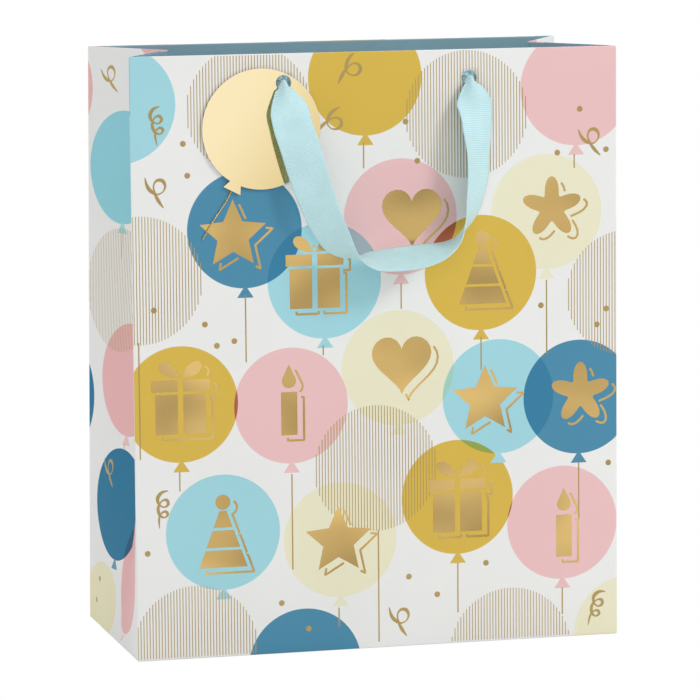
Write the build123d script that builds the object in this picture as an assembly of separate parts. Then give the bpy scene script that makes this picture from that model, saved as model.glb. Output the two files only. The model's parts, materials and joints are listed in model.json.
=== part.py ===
from build123d import *
import math
import os

# Gift bag, millimetres. X is the width, -Y the front, +Z up.
# The origin is the centre of the base, on the surface that the bag stands on.

# Driving dimensions
WIDTH = 254.0            # 10 in
HEIGHT = 304.8           # 12 in
DEPTH = 127.0            # 5 in at the base
PAPER = 0.3              # wall paper
GLUE = 0.1               # glue line behind a turned-in gusset edge
BACK_LEAN = 20.0         # how far the back wall's top leans forward
GUSSET_TUCK = 31.0       # how far each gusset crease is pushed in at the top
TUCK_CURVE = 0.55        # it is pushed in quickly just above the base, then more slowly
TUCK_LEVELS = [0.0, 0.04, 0.12, 0.3, 0.6, 1.0]   # shares of the height where the gusset is shaped

HEM_HEIGHT = 40.0        # depth of the turned-in top edge
HEM_CARD = 0.8           # stiffening card inside the front and back hems
SEAM_TAB = 15.0          # width of the glued side seam
BASE_CARD = 1.0
BASE_CARD_GAP = 1.5      # between the loose base card and the walls
FLAP_OVERLAP = 25.0      # front and back base flaps, where they are glued
SIDE_FLAP = 58.0         # length of the left and right base flaps
FLAP_GAP = 0.8           # between the base flaps and the gussets
FLAP_CLEAR = 0.15        # between the base flaps and the front and back walls
HEM_INSET = 1.2          # the hem card stops this far from the wall's side edges
HOLE_REACH = 12.0        # length of the ribbon holes' cutters
BEND = 0.45              # a thread bend takes this share of the shorter run beside it

HOLE_SPREAD = 97.0       # between the two ribbon holes of one wall
HOLE_DROP = 14.6         # below the rim
HOLE_RADIUS = 4.0
RIBBON = 0.5             # ribbon thickness
RIBBON_WIDTH = 20.0
STUB_RADIUS = 3.4        # the ribbon where it is pinched through a hole
PIVOT_OFF = 5.0          # handle axis in front of the wall
KNOT_RADIUS = 5.5
KNOT_HEIGHT = 8.0
KNOT_ROUND = 2.5
NECK_GAP = 0.4           # between a pinched neck's end and what lies beyond it
KNOT_SEAT = 0.2          # the knot starts this much before the neck ends
TAIL_TUCK = 1.5          # the tail starts this much inside the knot
TAIL_LENGTH = 14.0       # free end below each knot

TAG_RADIUS = 30.3
TAG_CARD = 0.5
TAG_OFF = 1.3            # between the wall and the tag
TAG_HOLE_RADIUS = 4.0
TAG_HANG = 25.6          # hole centre to balloon centre
TAG_TILT = 26.9          # hanging direction, degrees left of straight down
TAIL_ROOT = 0.4          # the rim is this much higher at the tail's two sides
TAG_TAIL = 4.0           # the balloon's knot below its rim
TAG_TAIL_NECK = 3.0      # half width at the rim
TAG_TAIL_FOOT = 4.8      # half width at the end
THREAD = 0.8             # diameter of the thread
THREAD_OFF = 0.9         # in front of the wall, behind the tag

# Route of the thread's centre: (left of the left hole, below the hole), running down from the tag's tail
THREAD_ROUTE = [(25.0, 49.3), (28.0, 55.4), (31.6, 61.2), (35.5, 66.5), (39.1, 71.9), (42.1, 77.5)]

# Ribbon handle: right of the centre, out from the wall, below the holes, and twist in degrees.
# With no twist the ribbon's outer face looks straight out.
HANDLE_ROUTE = [
    (-48.5, 5.0, 0.0, 0.0),
    (-48.0, 5.0, 5.0, 0.0),
    (-46.9, 6.2, 12.4, 0.0),
    (-46.1, 6.9, 17.4, 0.0),
    (-44.9, 7.3, 22.5, 4.0),
    (-42.8, 11.0, 31.0, 14.0),
    (-38.3, 14.2, 48.5, 28.0),
    (-33.0, 15.8, 64.2, 38.0),
    (-25.9, 16.6, 78.5, 50.0),
    (-18.0, 17.2, 86.3, 78.0),
    (-7.8, 18.0, 89.2, 110.0),
    (5.5, 18.5, 88.9, 119.0),
    (19.2, 18.0, 87.2, 117.0),
    (30.4, 16.5, 83.6, 102.0),
    (39.6, 14.0, 76.7, 76.0),
    (46.2, 12.0, 65.9, 56.0),
    (49.5, 10.8, 50.9, 46.0),
    (50.2, 9.6, 36.8, 40.0),
    (50.0, 8.2, 26.2, 30.0),
    (50.1, 7.2, 20.5, 24.0),
    (49.9, 6.2, 15.9, 18.0),
    (48.8, 5.0, 7.9, 0.0),
    (48.5, 5.0, 0.0, 0.0),
]
PINCH_LENGTH = 16.0      # the ribbon spreads to its full width over this length
PINCH_WIDTH = 7.0
ROUTE_STEPS = 2          # sections between two points of the route

HALF_W = WIDTH / 2
HALF_D = DEPTH / 2
HOLE_Z = HEIGHT - HOLE_DROP
HOLE_X = HOLE_SPREAD / 2
LEAN_ANGLE = math.degrees(math.atan2(BACK_LEAN, HEIGHT))
HEM_STACK = HEM_CARD + PAPER
CARD_TOP = BASE_CARD + 3 * PAPER


def back_y(z):
    """Outer face of the back wall at height z."""
    return HALF_D - BACK_LEAN * z / HEIGHT


def crease_y(z):
    """Gusset crease, half way between the front and back walls."""
    return (back_y(z) - HALF_D) / 2


def tuck(z):
    """How far the gusset crease is pushed in at height z, straight between the levels."""
    share = z / HEIGHT
    for low, high in zip(TUCK_LEVELS, TUCK_LEVELS[1:]):
        if share <= high:
            part = (share - low) / (high - low)
            return GUSSET_TUCK * ((1 - part) * low ** TUCK_CURVE + part * high ** TUCK_CURVE)
    return GUSSET_TUCK


def levels_between(z0, z1):
    """The two heights and every gusset level between them."""
    return [z0] + [HEIGHT * t for t in TUCK_LEVELS if z0 < HEIGHT * t < z1] + [z1]


def quad(points, z):
    """A flat horizontal face through four (x, y) corners."""
    return make_face(Polyline(*[(x, y, z) for x, y in points], close=True))


def wall_between(heights, corners):
    """A straight-sided solid through the heights; corners(z) gives its four corners."""
    return loft([quad(corners(z), z) for z in heights], ruled=True)


def front_slab(z0, z1, inner, thick, half_width):
    """A slab parallel to the front wall, from `inner` behind its outer face."""
    y0 = -HALF_D + inner
    return Pos(0, y0 + thick / 2, (z0 + z1) / 2) * Box(2 * half_width, thick, z1 - z0)


def back_slab(z0, z1, inner, thick, x0, x1):
    """A slab parallel to the leaning back wall, from `inner` in front of its outer face."""
    def corners(z):
        y1 = back_y(z) - inner
        y0 = y1 - thick
        return [(x0, y0), (x1, y0), (x1, y1), (x0, y1)]
    return wall_between([z0, z1], corners)


def front_gusset(side, z0, z1, inner, front_gap):
    """Front half of a gusset, `inner` inside its outer face; side is -1 left or +1 right."""
    def corners(z):
        y0 = -HALF_D + front_gap
        y1 = crease_y(z)
        share = (y0 + HALF_D) / (y1 + HALF_D)
        x0 = HALF_W - inner - tuck(z) * share
        x1 = HALF_W - inner - tuck(z)
        return [(side * x0, y0), (side * (x0 - PAPER), y0),
                (side * (x1 - PAPER), y1), (side * x1, y1)]
    return wall_between(levels_between(z0, z1), corners)


def back_gusset(side, z0, z1, inner, back_gap):
    """Back half of a gusset, the mirror image of the front half about the crease."""
    def corners(z):
        y0 = crease_y(z)
        y1 = back_y(z) - back_gap
        share = (back_y(z) - y1) / (back_y(z) - y0)
        x0 = HALF_W - inner - tuck(z)
        x1 = HALF_W - inner - tuck(z) * share
        return [(side * x0, y0), (side * (x0 - PAPER), y0),
                (side * (x1 - PAPER), y1), (side * x1, y1)]
    return wall_between(levels_between(z0, z1), corners)


def on_front(shape):
    """Places a shape made about the front wall's hole line: x across, -y out, z up."""
    return Pos(0, -HALF_D, HOLE_Z) * shape


def on_back(shape):
    """The same for the back wall, turned round and leaning with it."""
    return Pos(0, back_y(HOLE_Z), HOLE_Z) * Rot(LEAN_ANGLE, 0, 0) * Rot(0, 0, 180) * shape


def ribbon_holes(reach):
    """Cutters for the two ribbon holes of a wall, long enough for all its layers."""
    bore = Rot(90, 0, 0) * Cylinder(HOLE_RADIUS, reach)
    return Pos(-HOLE_X, 0, 0) * bore + Pos(HOLE_X, 0, 0) * bore


def ribbon_knot(x):
    """One fixed ribbon end: the pinched neck through the wall, the knot inside and its tail."""
    neck_out = PIVOT_OFF - RIBBON - NECK_GAP
    neck_in = PAPER + HEM_STACK + NECK_GAP
    neck = Pos(0, (neck_in - neck_out) / 2, 0) * Rot(90, 0, 0) * Cylinder(STUB_RADIUS, neck_out + neck_in)
    knot = Rot(90, 0, 0) * fillet(Cylinder(KNOT_RADIUS, KNOT_HEIGHT).edges(), KNOT_ROUND)
    knot = Pos(0, neck_in + KNOT_HEIGHT / 2 - KNOT_SEAT, 0) * knot
    tail = Pos(0, neck_in + KNOT_HEIGHT / 2, -KNOT_RADIUS - TAIL_LENGTH / 2 + TAIL_TUCK)
    tail *= Box(RIBBON_WIDTH / 2, 2 * RIBBON, TAIL_LENGTH)
    return Pos(x, 0, 0) * (neck + knot + tail)


def catmull(points, i, t):
    """Smooth interpolation between points[i] and points[i + 1]."""
    last = len(points) - 1
    p0, p1, p2, p3 = (points[max(0, min(last, i + k))] for k in (-1, 0, 1, 2))
    return [
        0.5 * (2 * b + (c - a) * t + (2 * a - 5 * b + 4 * c - d) * t * t + (3 * b - a - 3 * c + d) * t ** 3)
        for a, b, c, d in zip(p0, p1, p2, p3)
    ]


def handle_stations():
    """Points along the ribbon with their twist, evenly spread between the route's points."""
    stations = []
    for i in range(len(HANDLE_ROUTE) - 1):
        for step in range(ROUTE_STEPS):
            stations.append(catmull(HANDLE_ROUTE, i, step / ROUTE_STEPS))
    stations.append(list(HANDLE_ROUTE[-1]))
    return stations


def handle_ribbon():
    """The hanging loop of flat ribbon, about the hole line: x across, -y out, z up."""
    stations = handle_stations()
    centres = [Vector(x, -out, -drop) for x, out, drop, _ in stations]
    lengths = [0.0]
    for a, b in zip(centres, centres[1:]):
        lengths.append(lengths[-1] + (b - a).length)
    sections = []
    for i, centre in enumerate(centres):
        along = (centres[min(i + 1, len(centres) - 1)] - centres[max(i - 1, 0)]).normalized()
        flat = along.cross(Vector(0, -1, 0)).normalized()
        across = flat.rotate(Axis((0, 0, 0), tuple(along)), stations[i][3])
        face_out = across.cross(along).normalized()
        spread = min(1.0, min(lengths[i], lengths[-1] - lengths[i]) / PINCH_LENGTH)
        half = (PINCH_WIDTH + (RIBBON_WIDTH - PINCH_WIDTH) * math.sin(spread * math.pi / 2)) / 2
        corners = [centre + across * (half * u) + face_out * (RIBBON / 2 * v)
                   for u, v in ((-1, -1), (1, -1), (1, 1), (-1, 1))]
        sections.append(make_face(Polyline(*corners, close=True)))
    print("ribbon loop length", round(lengths[-1], 1))
    return loft(sections, ruled=True)


def gift_tag():
    """Round balloon card with its knot, hanging from the left hole, tilted to the left."""
    balloon = Pos(0, -TAG_HANG) * Circle(TAG_RADIUS)
    rim = -TAG_HANG - TAG_RADIUS
    tail = make_face(Polyline((-TAG_TAIL_NECK, rim + TAIL_ROOT), (TAG_TAIL_NECK, rim + TAIL_ROOT),
                              (TAG_TAIL_FOOT, rim - TAG_TAIL), (-TAG_TAIL_FOOT, rim - TAG_TAIL), close=True))
    outline = balloon + tail - Circle(TAG_HOLE_RADIUS)
    card = extrude(outline, TAG_CARD)
    card = Rot(90, 0, 0) * card
    card = Pos(-HOLE_X, -TAG_OFF, 0) * Rot(0, TAG_TILT, 0) * card
    return on_front(card)


def tag_thread():
    """The short bare thread that hangs from the tag's tail."""
    points = [(-HOLE_X - left, -THREAD_OFF, -down) for left, down in THREAD_ROUTE]
    runs = [(Vector(b) - Vector(a)) for a, b in zip(points, points[1:])]
    radii = []
    for a, b in zip(runs, runs[1:]):
        turn = math.radians(a.get_angle(b))
        radii.append(BEND * min(a.length, b.length) / math.tan(turn / 2))
    print("thread bend radii", [round(r, 1) for r in radii])
    path = FilletPolyline(*points, radius=radii)
    print("thread length", round(path.length, 1))
    section = Plane(origin=path @ 0, z_dir=path % 0) * Circle(THREAD / 2)
    return on_front(sweep(section, path=path))


def walls():
    """The faces of the one folded sheet, and the cards and flaps that stiffen it."""
    hem_z = HEIGHT - HEM_HEIGHT
    corner = HALF_W - HEM_INSET
    parts = {
        "front_panel": front_slab(0, HEIGHT, 0, PAPER, HALF_W),
        "back_panel": back_slab(0, HEIGHT, 0, PAPER, -HALF_W, HALF_W),
        "front_hem_card": front_slab(hem_z, HEIGHT - PAPER, PAPER, HEM_CARD, corner),
        "back_hem_card": back_slab(hem_z, HEIGHT - PAPER, PAPER, HEM_CARD, -corner, corner),
        "front_turn_in": front_slab(hem_z, HEIGHT - PAPER, PAPER + HEM_CARD, PAPER, corner)
        + front_slab(HEIGHT - PAPER, HEIGHT, PAPER, HEM_CARD + PAPER, corner),
        "back_turn_in": back_slab(hem_z, HEIGHT - PAPER, PAPER + HEM_CARD, PAPER, -corner, corner)
        + back_slab(HEIGHT - PAPER, HEIGHT, PAPER, HEM_CARD + PAPER, -corner, corner),
        "side_seam_tab": back_slab(CARD_TOP + 1, hem_z - 1, PAPER, PAPER, -HALF_W + 1, -HALF_W + 1 + SEAM_TAB),
    }
    inner_gap = PAPER + HEM_STACK
    for side, name in ((-1, "left"), (1, "right")):
        parts[f"{name}_gusset_front"] = front_gusset(side, 0, HEIGHT, 0, PAPER)
        parts[f"{name}_gusset_back"] = back_gusset(side, 0, HEIGHT, 0, PAPER)
        parts[f"{name}_turn_in_front"] = front_gusset(side, hem_z, HEIGHT, PAPER + GLUE, inner_gap)
        parts[f"{name}_turn_in_back"] = back_gusset(side, hem_z, HEIGHT, PAPER + GLUE, inner_gap)
    for name, place in (("front", on_front), ("back", on_back)):
        for layer in ("panel", "hem_card", "turn_in"):
            parts[f"{name}_{layer}"] -= place(ribbon_holes(HOLE_REACH))
    return parts


def base():
    """The folded base: front and back flaps glued over each other, side flaps and a loose card."""
    inner_x = HALF_W - PAPER
    inner_y = HALF_D - PAPER - FLAP_CLEAR
    parts = {}
    flap = inner_y + FLAP_OVERLAP / 2
    for side, name, layer in ((-1, "front", 0), (1, "back", 1)):
        parts[f"base_flap_{name}"] = Pos(0, side * (inner_y - flap / 2), (layer + 0.5) * PAPER) * Box(
            2 * (inner_x - FLAP_GAP), flap, PAPER)
    for side, name in ((-1, "left"), (1, "right")):
        x_wall = inner_x - FLAP_GAP
        x_end = x_wall - SIDE_FLAP
        slope = SIDE_FLAP / 3
        outline = make_face(Polyline((x_wall, -inner_y), (x_wall, inner_y), (x_end, inner_y - slope),
                                     (x_end, slope - inner_y), close=True))
        flap_solid = Pos(0, 0, 2 * PAPER) * extrude(outline, PAPER)
        parts[f"base_flap_{name}"] = flap_solid if side == 1 else mirror(flap_solid, Plane.YZ)
    parts["base_card"] = Pos(0, 0, 3 * PAPER + BASE_CARD / 2) * Box(
        2 * (HALF_W - BASE_CARD_GAP), 2 * (HALF_D - BASE_CARD_GAP), BASE_CARD)
    return parts


def handles():
    """Both ribbon loops and their four fixed ends."""
    parts = {}
    for wall, place in (("front", on_front), ("back", on_back)):
        parts[f"{wall}_handle_ribbon"] = place(handle_ribbon())
        for x, name in ((-HOLE_X, "left"), (HOLE_X, "right")):
            parts[f"{wall}_{name}_knot"] = place(ribbon_knot(x))
    return parts


def main():
    os.makedirs("parts", exist_ok=True)
    parts = {**walls(), **base(), **handles(), "gift_tag": gift_tag(), "tag_thread": tag_thread()}
    for name, shape in parts.items():
        export_step(shape, f"parts/{name}.step")


main()
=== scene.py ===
import json
from math import asin, atan2, cos, degrees, dist, hypot, inf, pi, radians, sin, sqrt

import bmesh
import bpy
from mathutils import Matrix, Vector, noise


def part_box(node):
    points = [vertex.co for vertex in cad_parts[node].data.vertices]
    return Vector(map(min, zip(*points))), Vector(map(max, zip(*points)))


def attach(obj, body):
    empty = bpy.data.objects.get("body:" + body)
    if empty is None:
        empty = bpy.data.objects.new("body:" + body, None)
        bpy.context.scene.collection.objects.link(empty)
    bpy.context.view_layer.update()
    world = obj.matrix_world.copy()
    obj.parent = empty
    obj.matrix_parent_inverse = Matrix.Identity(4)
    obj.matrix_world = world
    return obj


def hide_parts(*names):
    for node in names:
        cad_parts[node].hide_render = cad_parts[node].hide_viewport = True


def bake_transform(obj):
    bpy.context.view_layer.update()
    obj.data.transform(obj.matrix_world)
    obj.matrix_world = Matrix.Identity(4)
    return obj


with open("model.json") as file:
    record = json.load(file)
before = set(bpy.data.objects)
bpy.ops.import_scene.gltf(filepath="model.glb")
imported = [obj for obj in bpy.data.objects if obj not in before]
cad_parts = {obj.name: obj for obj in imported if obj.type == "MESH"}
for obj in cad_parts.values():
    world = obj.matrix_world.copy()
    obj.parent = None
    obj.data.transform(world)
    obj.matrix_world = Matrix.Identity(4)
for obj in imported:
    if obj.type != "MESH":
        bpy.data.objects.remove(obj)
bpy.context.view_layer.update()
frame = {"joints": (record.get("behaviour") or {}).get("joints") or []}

MM = 0.001

# ---- sizes, from the frame (metres)
PAPER = 0.3 * MM
FRONT_LOW, FRONT_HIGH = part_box("front_panel")
BACK_LOW, BACK_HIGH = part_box("back_panel")
GUSSET_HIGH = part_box("left_gusset_front")[1]
HALF_W = FRONT_HIGH[0]
HEIGHT = FRONT_HIGH[2]
FRONT_Y = FRONT_LOW[1]
BACK_Y = BACK_HIGH[1]
DEPTH = BACK_Y - FRONT_Y
BACK_LEAN = BACK_Y - (BACK_LOW[1] + PAPER)
TUCK = GUSSET_HIGH[0] - PAPER + HALF_W
TUCK_CURVE = 0.55  # the gusset is pushed in quickly just above the base, then more slowly
TUCK_EASE = 6 * MM  # and starts gently, over about this height
HEM_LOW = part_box("front_turn_in")[0][2]
HOLE_RADIUS = 4.0 * MM
JOINTS = {j["name"]: j for j in frame["joints"]}
FRONT_PIVOT = Vector(JOINTS["front_handle_swing"]["pos_m"])
BACK_PIVOT = Vector(JOINTS["back_handle_swing"]["pos_m"])
TAG_PIVOT = Vector(JOINTS["tag_swing"]["pos_m"])
HOLE_X = -TAG_PIVOT.x
LEAN = atan2(BACK_LEAN, HEIGHT)

# ---- print, millimetres on each face
INK = {
    "light": (0.418, 0.795, 0.896),
    "steel": (0.072, 0.300, 0.480),
    "pink": (0.990, 0.625, 0.641),
    "ochre": (0.816, 0.550, 0.075),
    "cream": (0.985, 0.945, 0.707),
}
# Where ochre meets these inks the two don't simply multiply: darker with pink, opaque over cream.
OVERPRINT = {
    frozenset(("ochre", "pink")): (0.60, 0.36, 0.95),
    frozenset(("ochre", "cream")): (1.015, 1.058, 1.414),
}
BALLOON_R = 29.5
INK_EDGE = 0.12  # half the softness of a balloon's edge
STRIPED_R = 32.3
STRIPE_PITCH = 1.56
STRIPE_WIDTH = 0.46
SIDE_STRIPE = 0.34
STRING_WIDTH = 0.7
DOT_R = 1.5
TIE_FOOT = (4.3, 4.8)  # half the foot of a balloon's tie, and how far below the balloon it is
TIE_TOP = (0.6, 0.7)  # half its top, and how far that reaches into the balloon
# How far each kind of print stands off the sheet.
LIFT = {"tie": 0.008, "stripes": 0.015, "fine": 0.022, "motifs": 0.03}

# Front face: colour, right of the centre line, above the base.
FRONT_BALLOONS = [
    ("light", -133, 281), ("ochre", -6, 292), ("pink", 105, 284), ("cream", 89, 221),
    ("pink", 12, 221), ("ochre", 54, 191), ("steel", -69, 217), ("light", -28, 190),
    ("ochre", -103, 130), ("pink", -46, 127), ("cream", 10, 144), ("light", 63, 127),
    ("steel", 106, 125), ("ochre", 41, 76), ("pink", 97, 60), ("light", -82, 64),
    ("cream", -21, 57), ("steel", -40, -7), ("cream", 133, 1),
]
FRONT_STRIPED = [(-66, 277), (47, 272), (-123, 193), (132, 178), (-2, 93), (-97, 5), (69, -5)]
# Strings: right of the centre line, upper end, lower end.
FRONT_STRINGS = [
    (-7, 259, 246), (104, 250, 243), (12, 187, 174), (-69, 184, 150), (-29, 157, 152),
    (-104, 96, 86), (-46, 92, 43), (41, 42, 16), (97, 26, 12), (-22, 22, 12), (-1, 61, 3),
    (106, 91, 61), (-124, 162, 103), (89, 186, 148), (54, 158, 141),
]
FRONT_DOTS = [
    (-100, 261), (-98, 245), (15, 269), (21, 249), (107, 273), (95, 251), (121, 252),
    (86, 173), (121, 170), (116, 162), (-116, 178), (-90, 170), (-84, 159), (-75, 161),
    (122, 90), (-121, 55), (-52, 26), (15, 36), (30, 26), (56, 41), (-38, 12),
]
# Streamers: right of the centre line, above the base, turn in degrees, which of the two shapes.
FRONT_CURLS = [
    (-113, 270, 10, 1), (-114, 237, 0, 0), (-15, 296, -60, 0), (-25, 270, -75, 0), (113, 256, 10, 0),
    (-113, 77, 0, 1), (10, 13, 0, 0), (115, 14, -15, 1),
]
# Motif, right of the centre line, above the base.
FRONT_MOTIFS = [
    ("star", -75, 216), ("present", -33, 193), ("heart", 18, 221), ("hat", 55, 192),
    ("flower", 92, 223), ("present", -103, 132), ("candle", -47, 129), ("heart", 12, 146),
    ("star", 56, 127), ("flower", 107, 127), ("hat", -82, 63), ("star", -22, 58),
    ("present", 41, 75), ("candle", 98, 59),
]
# Side faces, the same, but measured from the front edge.
SIDE_BALLOONS = [
    ("pink", 152, 283), ("light", 95, 243), ("steel", 150, 120), ("pink", 82, 133),
    ("steel", 86, 67), ("cream", 103, 4), ("pink", 44, 36), ("ochre", 34, 204),
    ("cream", 28, 118), ("steel", 26, 290), ("pink", 66, 328),
]
SIDE_STRIPED = [(95, 179)]
SIDE_STRINGS = [(95, 209, 196), (84, 99, 96)]
SIDE_DOTS = [(4, 286), (70, 283), (108, 24), (112, 12), (50, 240), (62, 80), (20, 70)]
SIDE_CURLS = [(108, 288, 20, 0), (100, 82, 10, 0), (50, 165, 60, 0)]

# ---- ribbon, tag and thread, millimetres
RIBBON = 0.45
RIBBON_WIDTH = 20.0
RIB_PITCH = 0.9  # grosgrain ribs across the ribbon
RIB_HEIGHT = 0.09
WARP_PITCH = 0.28  # threads along it
PINCH_LENGTH = 15.0
PINCH_WIDTH = 5.6
# Right of the centre, out from the wall, below the holes, twist in degrees.
HANDLE_ROUTE = [
    (-46.9, 6.2, 12.4, 0.0), (-46.1, 6.9, 17.4, 0.0), (-44.9, 7.3, 22.5, 4.0), (-42.8, 11.0, 31.0, 14.0),
    (-38.3, 14.2, 48.5, 28.0), (-33.0, 15.8, 64.2, 38.0), (-25.9, 16.6, 78.5, 50.0),
    (-18.0, 17.2, 86.3, 78.0), (-7.8, 18.0, 89.2, 110.0), (5.5, 18.5, 88.9, 119.0),
    (19.2, 18.0, 87.2, 117.0), (30.4, 16.5, 83.6, 102.0), (39.6, 14.0, 76.7, 76.0),
    (46.2, 12.0, 65.9, 56.0), (49.5, 10.8, 50.9, 46.0), (50.2, 9.6, 36.8, 40.0), (50.0, 8.2, 26.2, 30.0),
    (50.1, 7.2, 20.5, 24.0), (49.9, 6.2, 15.9, 18.0),
]
TAG_RADIUS = 30.3
TAG_CARD = 0.5
TAG_OFF = 1.3
TAG_HOLE_RADIUS = 4.0
TAG_HANG = 25.6
TAG_TILT = radians(26.9)
THREAD = 0.8
THREAD_OFF = 0.9
# Left of the left hole, below it.
THREAD_ROUTE = [(25.0, 49.3), (28.0, 55.4), (31.6, 61.2), (35.5, 66.5), (39.1, 71.9), (42.1, 77.5)]

# ---- camera, light, floor
CAMERA_AZIMUTH = radians(-14.408)
CAMERA_ELEVATION = radians(7.269)
CAMERA_ROLL = radians(-0.525)
CAMERA_DISTANCE = 2.2052
CAMERA_TARGET = Vector((0.0013, 0.0, 0.1457))
CAMERA_LENS = 217.36  # millimetres
CAMERA_SENSOR = 36.0
# Place and size in metres, power in watts; every light faces the middle of the bag.
LIGHTS = [
    ("key", (1.15, -1.35, 1.25), (0.45, 0.45), 13),
    ("front_fill", (-0.6, -2.4, 0.9), (1.6, 1.2), 6.5),
    ("side_fill", (-2.2, -0.1, 0.7), (1.2, 1.2), 8),
    ("top", (0.1, 0.2, 1.9), (1.4, 1.4), 9),
    ("back_fill", (0.5, 1.8, 0.9), (1.4, 1.0), 8),
]
LIGHTS_FACE = Vector((0, 0, 0.15))
WORLD_LIGHT = 0.52  # the studio's own light; the camera sees plain white behind the object
FLOOR_HALF = 12.0


def new_object(name, data):
    made = bpy.data.objects.new(name, data)
    bpy.context.collection.objects.link(made)
    return made


def make_camera():
    """A long lens, a little left of the front and above."""
    level = cos(CAMERA_ELEVATION)
    back = Vector((sin(CAMERA_AZIMUTH) * level, -cos(CAMERA_AZIMUTH) * level,
                   sin(CAMERA_ELEVATION)))
    data = bpy.data.cameras.new("camera")
    data.sensor_width = CAMERA_SENSOR
    data.lens = CAMERA_LENS
    camera = new_object("camera", data)
    camera.location = CAMERA_TARGET + back * CAMERA_DISTANCE
    turn = (-back).to_track_quat("-Z", "Y").to_matrix() @ Matrix.Rotation(CAMERA_ROLL, 3, "Z")
    camera.rotation_euler = turn.to_euler()
    bpy.context.scene.camera = camera


def make_lights():
    for name, place, size, power in LIGHTS:
        data = bpy.data.lights.new(name, "AREA")
        data.shape = "RECTANGLE"
        data.size, data.size_y = size
        data.energy = power
        light = new_object(name, data)
        light.location = place
        light.rotation_euler = (LIGHTS_FACE - light.location).to_track_quat("-Z", "Y").to_euler()


def make_world():
    world = bpy.data.worlds.new("studio")
    world.use_nodes = True
    seen = node(world, "ShaderNodeLightPath").outputs["Is Camera Ray"]
    background = world.node_tree.nodes["Background"]
    background.inputs["Color"].default_value = (1, 1, 1, 1)
    link(world, remap(world, seen, 0, 1, WORLD_LIGHT, 1), background.inputs["Strength"])
    bpy.context.scene.world = world


def make_floor(material):
    corners = [(x * FLOOR_HALF, y * FLOOR_HALF, 0) for x, y in ((-1, -1), (1, -1), (1, 1), (-1, 1))]
    mesh = bpy.data.meshes.new("floor")
    mesh.from_pydata(corners, [], [(0, 1, 2, 3)])
    mesh.materials.append(material)
    new_object("floor", mesh)


# ---- material helpers
NOISE_SPAN = (0.3, 0.7)  # most of a noise texture's values lie between these


def link(owner, source, target):
    owner.node_tree.links.new(source, target)


def node(owner, kind, inputs=None, **settings):
    """A new node of a material or world; inputs are sockets to link or values."""
    made = owner.node_tree.nodes.new(kind)
    for key, value in settings.items():
        setattr(made, key, value)
    for key, value in (inputs or {}).items():
        if isinstance(value, bpy.types.NodeSocket):
            link(owner, value, made.inputs[key])
        else:
            made.inputs[key].default_value = value
    return made


def principled(material):
    return material.node_tree.nodes["Principled BSDF"]


def new_material(name, colour, roughness, metallic=0.0, specular=0.5):
    material = bpy.data.materials.new(name)
    material.use_nodes = True
    for key, value in (("Base Color", (*colour, 1)), ("Roughness", roughness), ("Metallic", metallic),
                       ("Specular IOR Level", specular)):
        principled(material).inputs[key].default_value = value
    return material


def mix(material, factor, a, b, blend="MULTIPLY"):
    """A colour mix; a and b are sockets or colours."""
    a, b = ((*value, 1) if isinstance(value, tuple) else value for value in (a, b))
    made = node(material, "ShaderNodeMix", {0: factor, 6: a, 7: b}, data_type="RGBA", blend_type=blend)
    return made.outputs[2]


def remap(owner, value, from_low, from_high, to_low=0.0, to_high=1.0, **settings):
    """A value carried from one range to another."""
    inputs = {"Value": value, "From Min": from_low, "From Max": from_high,
              "To Min": to_low, "To Max": to_high}
    return node(owner, "ShaderNodeMapRange", inputs, **settings).outputs["Result"]


def object_place(material):
    return node(material, "ShaderNodeTexCoord").outputs["Object"]


def noise_value(material, scale, detail=3.0, roughness=0.5, stretch=(1, 1, 1)):
    """Noise in object space; scale is in waves per metre."""
    where = node(material, "ShaderNodeMapping", {"Vector": object_place(material), "Scale": stretch})
    waves = {"Vector": where.outputs["Vector"], "Scale": scale, "Detail": detail, "Roughness": roughness}
    return node(material, "ShaderNodeTexNoise", waves).outputs["Fac"]


def uneven(material, low, high, scale, **waves):
    """A value that wanders between low and high."""
    return remap(material, noise_value(material, scale, **waves), *NOISE_SPAN, low, high)


def set_surface(material, colour, roughness=None):
    link(material, colour, principled(material).inputs["Base Color"])
    if roughness is not None:
        link(material, roughness, principled(material).inputs["Roughness"])


def add_bump(material, height, distance, strength):
    bump = node(material, "ShaderNodeBump", {"Height": height, "Distance": distance, "Strength": strength})
    link(material, bump.outputs["Normal"], principled(material).inputs["Normal"])


# ---- materials
PAPER_WHITE = (0.81, 0.815, 0.80)
FACE_SHINE_AND_SHADE = (0.35, 1.0)  # shine, and a power on the inks that darkens them above 1, as painted shade
# the side faces' inks are darkened, as painted shade
SIDE_SHINE_AND_SHADE = (0.02, 1.2)
LINING_WHITE = (0.78, 0.78, 0.76)
LINING_BLUE = (0.25, 0.43, 0.51)
TAG_WHITE = (0.80, 0.79, 0.76)
BOARD_GREY = (0.46, 0.44, 0.40)
MOTIF_GOLD = (0.64, 0.44, 0.16)
FINE_GOLD = (0.46, 0.33, 0.13)
TAG_GOLD_AND_REFLECTION = ((0.97, 0.82, 0.50), (0.76, 0.58, 0.26))  # gold with a painted reflection: pale at the upper left, deep at the lower right
TAG_REFLECTION_SPAN = (1.1, 1.2)  # how far the painted reflection's change starts before the tag's middle and ends after, in radii
THREAD_GOLD = (0.80, 0.62, 0.28)
RIBBON_BLUE = (0.58, 0.86, 0.90)
FLOOR_WHITE = (0.93, 0.93, 0.93)


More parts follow.
